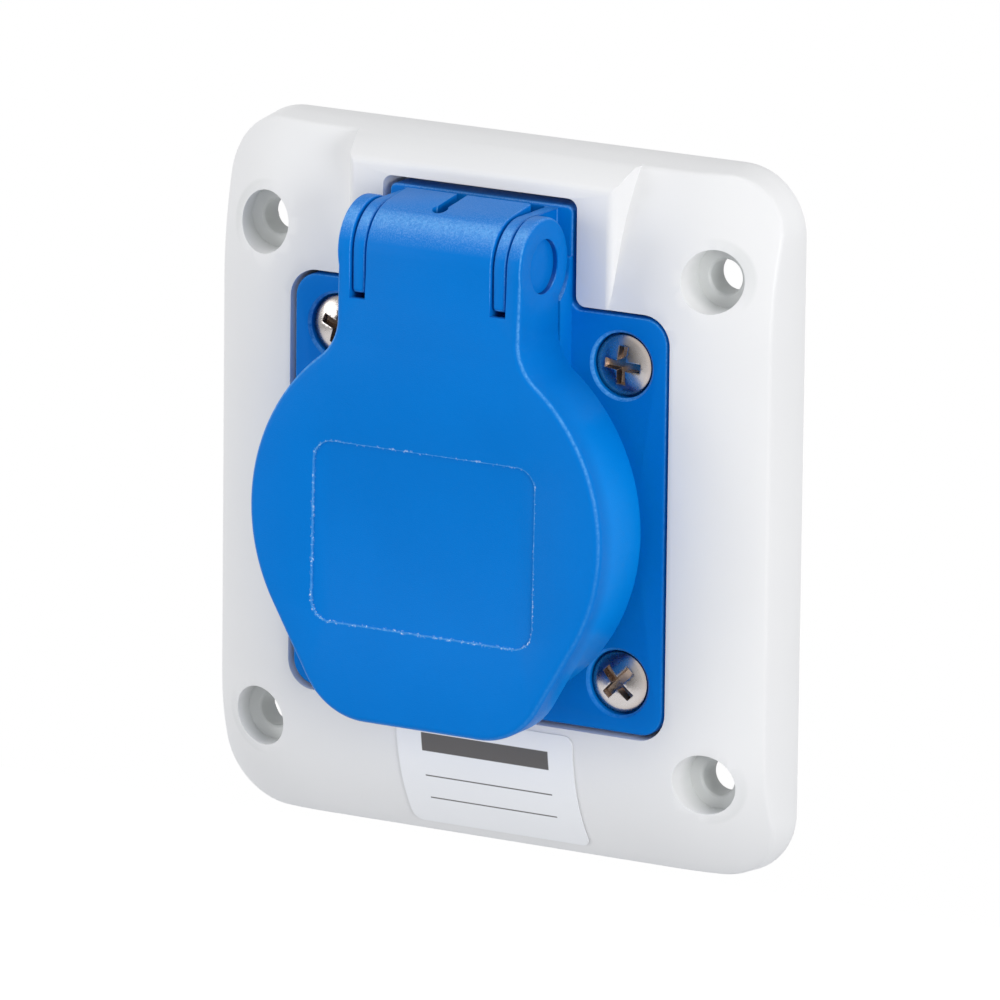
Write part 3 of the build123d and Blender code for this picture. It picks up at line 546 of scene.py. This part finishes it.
def alone(obj):
    """Selects one object and nothing else."""
    bpy.ops.object.select_all(action="DESELECT")
    obj.select_set(True)
    bpy.context.view_layer.objects.active = obj


def is_hinge_edge(edge, planes):
    """Whether an edge joins a wall that stands in one of the planes and a face that looks outwards."""
    in_plane = any(all(abs(abs(v.co.x) / MM - p) < PLANE_REACH for v in edge.verts) for p in planes)
    if not in_plane or len(edge.link_faces) != 2:
        return False
    wall, outer = sorted(edge.link_faces, key=lambda face: -abs(face.normal.x))
    middle = (edge.verts[0].co + edge.verts[1].co) / 2
    looks_up = outer.normal.z > OUTER_LEAST and middle.z / MM > HINGE_Z
    looks_out = outer.normal.y < -OUTER_LEAST or looks_up
    return abs(wall.normal.x) > WALL_LEAST_X and abs(outer.normal.x) < OUTER_MOST_X and looks_out


def round_hinge_edges(piece, planes, radius):
    """Rounds the outer edges of walls that lie in planes across the hinge, such as a slot's or a lug's."""
    bpy.ops.mesh.select_mode(type="EDGE")
    bpy.ops.mesh.select_all(action="DESELECT")
    mesh = bmesh.from_edit_mesh(piece.data)
    for edge in mesh.edges:
        if is_hinge_edge(edge, planes):
            edge.select_set(True)
    bmesh.update_edit_mesh(piece.data)
    bpy.ops.mesh.bevel(offset=radius, segments=HINGE_EDGE_SEGMENTS, clamp_overlap=False)


def soften(piece, edge):
    """Rounds the sharp edges of a piece."""
    bevel = piece.modifiers.new("soft_edges", "BEVEL")
    bevel.width = edge
    bevel.segments = BEVEL_SEGMENTS
    bevel.limit_method = "ANGLE"
    bevel.angle_limit = BEVEL_ANGLE
    bevel.use_clamp_overlap = True
    bpy.ops.object.modifier_apply(modifier=bevel.name)


def moulded_copy(node, name, material, body, edge=SOFT_EDGE, planes=(), radius=0):
    """A copy of a solid with its triangles joined, its flats cleaned and its sharp edges softened.

    It moves with a body, if one is given.
    """
    piece = bpy.data.objects.new(name, frame["nodes"][node].data.copy())
    bpy.context.scene.collection.objects.link(piece)
    alone(piece)
    bpy.ops.mesh.customdata_custom_splitnormals_clear()
    bpy.ops.object.mode_set(mode="EDIT")
    bpy.ops.mesh.select_all(action="SELECT")
    bpy.ops.mesh.remove_doubles(threshold=MERGE_DISTANCE)
    bpy.ops.mesh.dissolve_limited(angle_limit=FLAT_ANGLE)
    if planes:
        round_hinge_edges(piece, planes, radius)
    bpy.ops.mesh.select_all(action="SELECT")
    bpy.ops.mesh.quads_convert_to_tris(quad_method="BEAUTY", ngon_method="BEAUTY")
    bpy.ops.object.mode_set(mode="OBJECT")
    if edge:
        soften(piece, edge)
    bpy.ops.object.shade_smooth_by_angle(angle=CREASE_ANGLE)
    piece.data.materials.clear()
    piece.data.materials.append(material)
    if body:
        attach(piece, body)
    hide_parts(node)
    return piece


def wound_spring():
    """The lid's spring, round in its wire; it rides on no body, so it does not wind with the lid."""
    spring = moulded_copy("lid_spring", "lid_spring_wire", STEEL, body=None, edge=0)
    alone(spring)
    finer = spring.modifiers.new("round_wire", "SUBSURF")
    finer.levels = 1
    finer.render_levels = 1
    bpy.ops.object.modifier_apply(modifier=finer.name)
    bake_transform(spring)


def lifted_label():
    """The label's film, raised by a hair from the plate."""
    film = moulded_copy("blank_label", "label_sheet", FILM, "socket", edge=0)
    alone(film)
    bpy.ops.object.mode_set(mode="EDIT")
    bpy.ops.mesh.select_all(action="SELECT")
    bpy.ops.transform.translate(value=(0, -LABEL_LIFT, 0))
    bpy.ops.object.mode_set(mode="OBJECT")


def paint(node, material):
    """Gives a solid that stays as it is a better material."""
    held = frame["nodes"][node].material_slots[0]
    held.link = "OBJECT"
    held.material = material


def floor():
    """A pale floor that shows white to the camera and keeps a shadow."""
    bpy.ops.mesh.primitive_plane_add(size=FLOOR_SIZE, location=(0, 0, -FLOOR_DROP))
    ground = bpy.context.object
    ground.name = "studio_floor"
    finish = Finish("floor_paint")
    finish.set(Base_Color=FLOOR_COLOUR, Roughness=FLOOR_ROUGHNESS)
    matt = Signal(finish, finish.shader.outputs[0])
    glow = finish.node("ShaderNodeEmission", inputs={"Strength": FLOOR_GLOW})
    both = finish.node("ShaderNodeAddShader", inputs={0: matt, 1: glow})
    seen = finish.node("ShaderNodeLightPath", output="Is Camera Ray")
    shown = (seen + seen.output("Is Glossy Ray") + seen.output("Is Transmission Ray")).at_most(1.0)
    choice = finish.node("ShaderNodeMixShader", inputs={0: shown, 1: matt, 2: both})
    finish.feed(finish.tree.nodes["Material Output"].inputs["Surface"], choice)
    ground.data.materials.append(finish.material)


def world():
    """White where it is looked at, darker on one side where it is mirrored, and a soft level as light."""
    made = bpy.data.worlds.new("studio_world")
    made.use_nodes = True
    bpy.context.scene.world = made
    nodes = Nodes(made.node_tree)
    seen = nodes.node("ShaderNodeLightPath", output="Is Camera Ray")
    mirrored = seen.output("Is Glossy Ray")
    way = nodes.node("ShaderNodeTexCoord", output="Generated")
    product = {"operation": "DOT_PRODUCT"}
    towards_room = nodes.node("ShaderNodeVectorMath", product, {0: way, 1: ROOM_WAY}, output="Value")
    mirror_level = 1.0 - ramp(towards_room, *ROOM_EDGE) * (1.0 - ROOM_LEVEL)
    white = (seen + seen.output("Is Transmission Ray")).at_most(1.0)
    unseen_level = mirrored * mirror_level + (1.0 - mirrored) * WORLD_LEVEL
    background = made.node_tree.nodes["Background"]
    nodes.feed(background.inputs["Strength"], white + (1.0 - white) * unseen_level)
    nodes.feed(background.inputs["Color"], nodes.mix((white + mirrored).at_most(1.0), WORLD_TINT, WHITE))


def lamps():
    """Soft square lamps aimed at the socket."""
    for name, lamp in LAMPS.items():
        data = bpy.data.lights.new(name, "AREA")
        data.shape = "SQUARE"
        data.size = lamp["size"]
        place = Vector(lamp["place"])
        data.energy = lamp["level"] * math.pi ** 2 * place.length_squared
        obj = bpy.data.objects.new(name, data)
        obj.location = place
        obj.rotation_euler = (-place).to_track_quat("-Z", "Y").to_euler()
        bpy.context.scene.collection.objects.link(obj)


def camera():
    """Turned to the socket's right, a little above it, from far away."""
    turn = Matrix.Rotation(CAMERA_TURN, 3, "Z")
    tilt = Matrix.Rotation(math.pi / 2 - CAMERA_TILT, 3, "X")
    roll = Matrix.Rotation(CAMERA_ROLL, 3, "Z")
    aim = turn @ tilt @ roll
    data = bpy.data.cameras.new("camera")
    data.lens = CAMERA_LENS
    data.sensor_width = CAMERA_SENSOR
    data.clip_start = CAMERA_NEAR
    obj = bpy.data.objects.new("camera", data)
    obj.rotation_euler = aim.to_euler()
    obj.location = aim @ Vector((-CAMERA_SIDESTEP, -CAMERA_RISE, CAMERA_DISTANCE))
    bpy.context.scene.collection.objects.link(obj)
    bpy.context.scene.camera = obj


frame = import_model()

BLUE = blue_plastic("blue_plastic")
LID_BLUE = blue_plastic("lid_plastic", is_lid=True)
PALE = plate_plastic()
RUBBER = plain("gasket_rubber", RUBBER_BLACK, roughness=0.62, grain=0.5, depth=0.02)
NICKEL = plain("screw_steel", SCREW_GREY, roughness=0.22, metallic=1.0, grain=0.3, depth=0.004)
SCREW_NICKEL = nickel()
GREY = plain("insert_plastic", INSERT_GREY, roughness=0.45)
BRASS = turned_brass()
BRASS_SHEET = plain("contact_brass", STRIP_BRASS, roughness=0.3, metallic=1.0, grain=0.3, depth=0.003)
STEEL = plain("spring_steel", SPRING_GREY, roughness=0.3, metallic=1.0)
FILM = label_film()

# Pieces that are only softened: solid, piece, finish, slot, body and edge in millimetres
SMALL_PIECES = (
    ("panel_gasket", "panel_gasket_foam", RUBBER, "gasket_rubber", "socket", 0.15),
    ("contact_insert", "insert_moulding", GREY, "insert_plastic", "socket", 0.12),
    ("contact_carrier", "carrier_moulding", GREY, "insert_plastic", "socket", 0.15),
    ("line_contact", "line_contact_turned", BRASS, "contact_brass", "socket", 0.08),
    ("neutral_contact", "neutral_contact_turned", BRASS, "contact_brass", "socket", 0.08),
    ("earth_terminal", "earth_terminal_turned", BRASS, "contact_brass", "socket", 0.08),
    ("earth_clip", "earth_clip_strap", BRASS_SHEET, "contact_brass", "socket", 0.06),
    ("terminal_screws", "terminal_screw_set", NICKEL, "screw_steel", "socket", 0.06),
    ("carrier_screw", "carrier_screw_head", NICKEL, "screw_steel", "socket", 0.06),
    ("hinge_caps", "hinge_cap_pair", BLUE, "blue_plastic", "lid_assembly", 0.1),
)

# Solids that stay as they are and only get a finish
PAINTED = (
    ("flange_gasket", RUBBER),
    ("lid_seal", RUBBER),
    ("contact_springs", STEEL),
    ("hinge_pin", STEEL),
)

moulded_copy("flange_plate", "plate_moulding", PALE, "socket", PLATE_SOFT_EDGE)
moulded_copy(
    "socket_housing",
    "housing_moulding",
    BLUE,
    "socket",
    planes=LUG_PLANES,
    radius=LUG_EDGE_R,
)
moulded_copy(
    "lid",
    "lid_moulding",
    LID_BLUE,
    "lid_assembly",
    planes=SLOT_PLANES,
    radius=SLOT_EDGE_R,
)
moulded_copy("flange_screws", "flange_screw_set", SCREW_NICKEL, "socket", SCREW_SOFT_EDGE)
lifted_label()
wound_spring()
for node, name, material, slot, body, edge in SMALL_PIECES:
    moulded_copy(node, name, material, body, edge * MM)
for node, material in PAINTED:
    paint(node, material)

floor()
world()
lamps()
camera()
bpy.context.scene.view_settings.view_transform = "Standard"
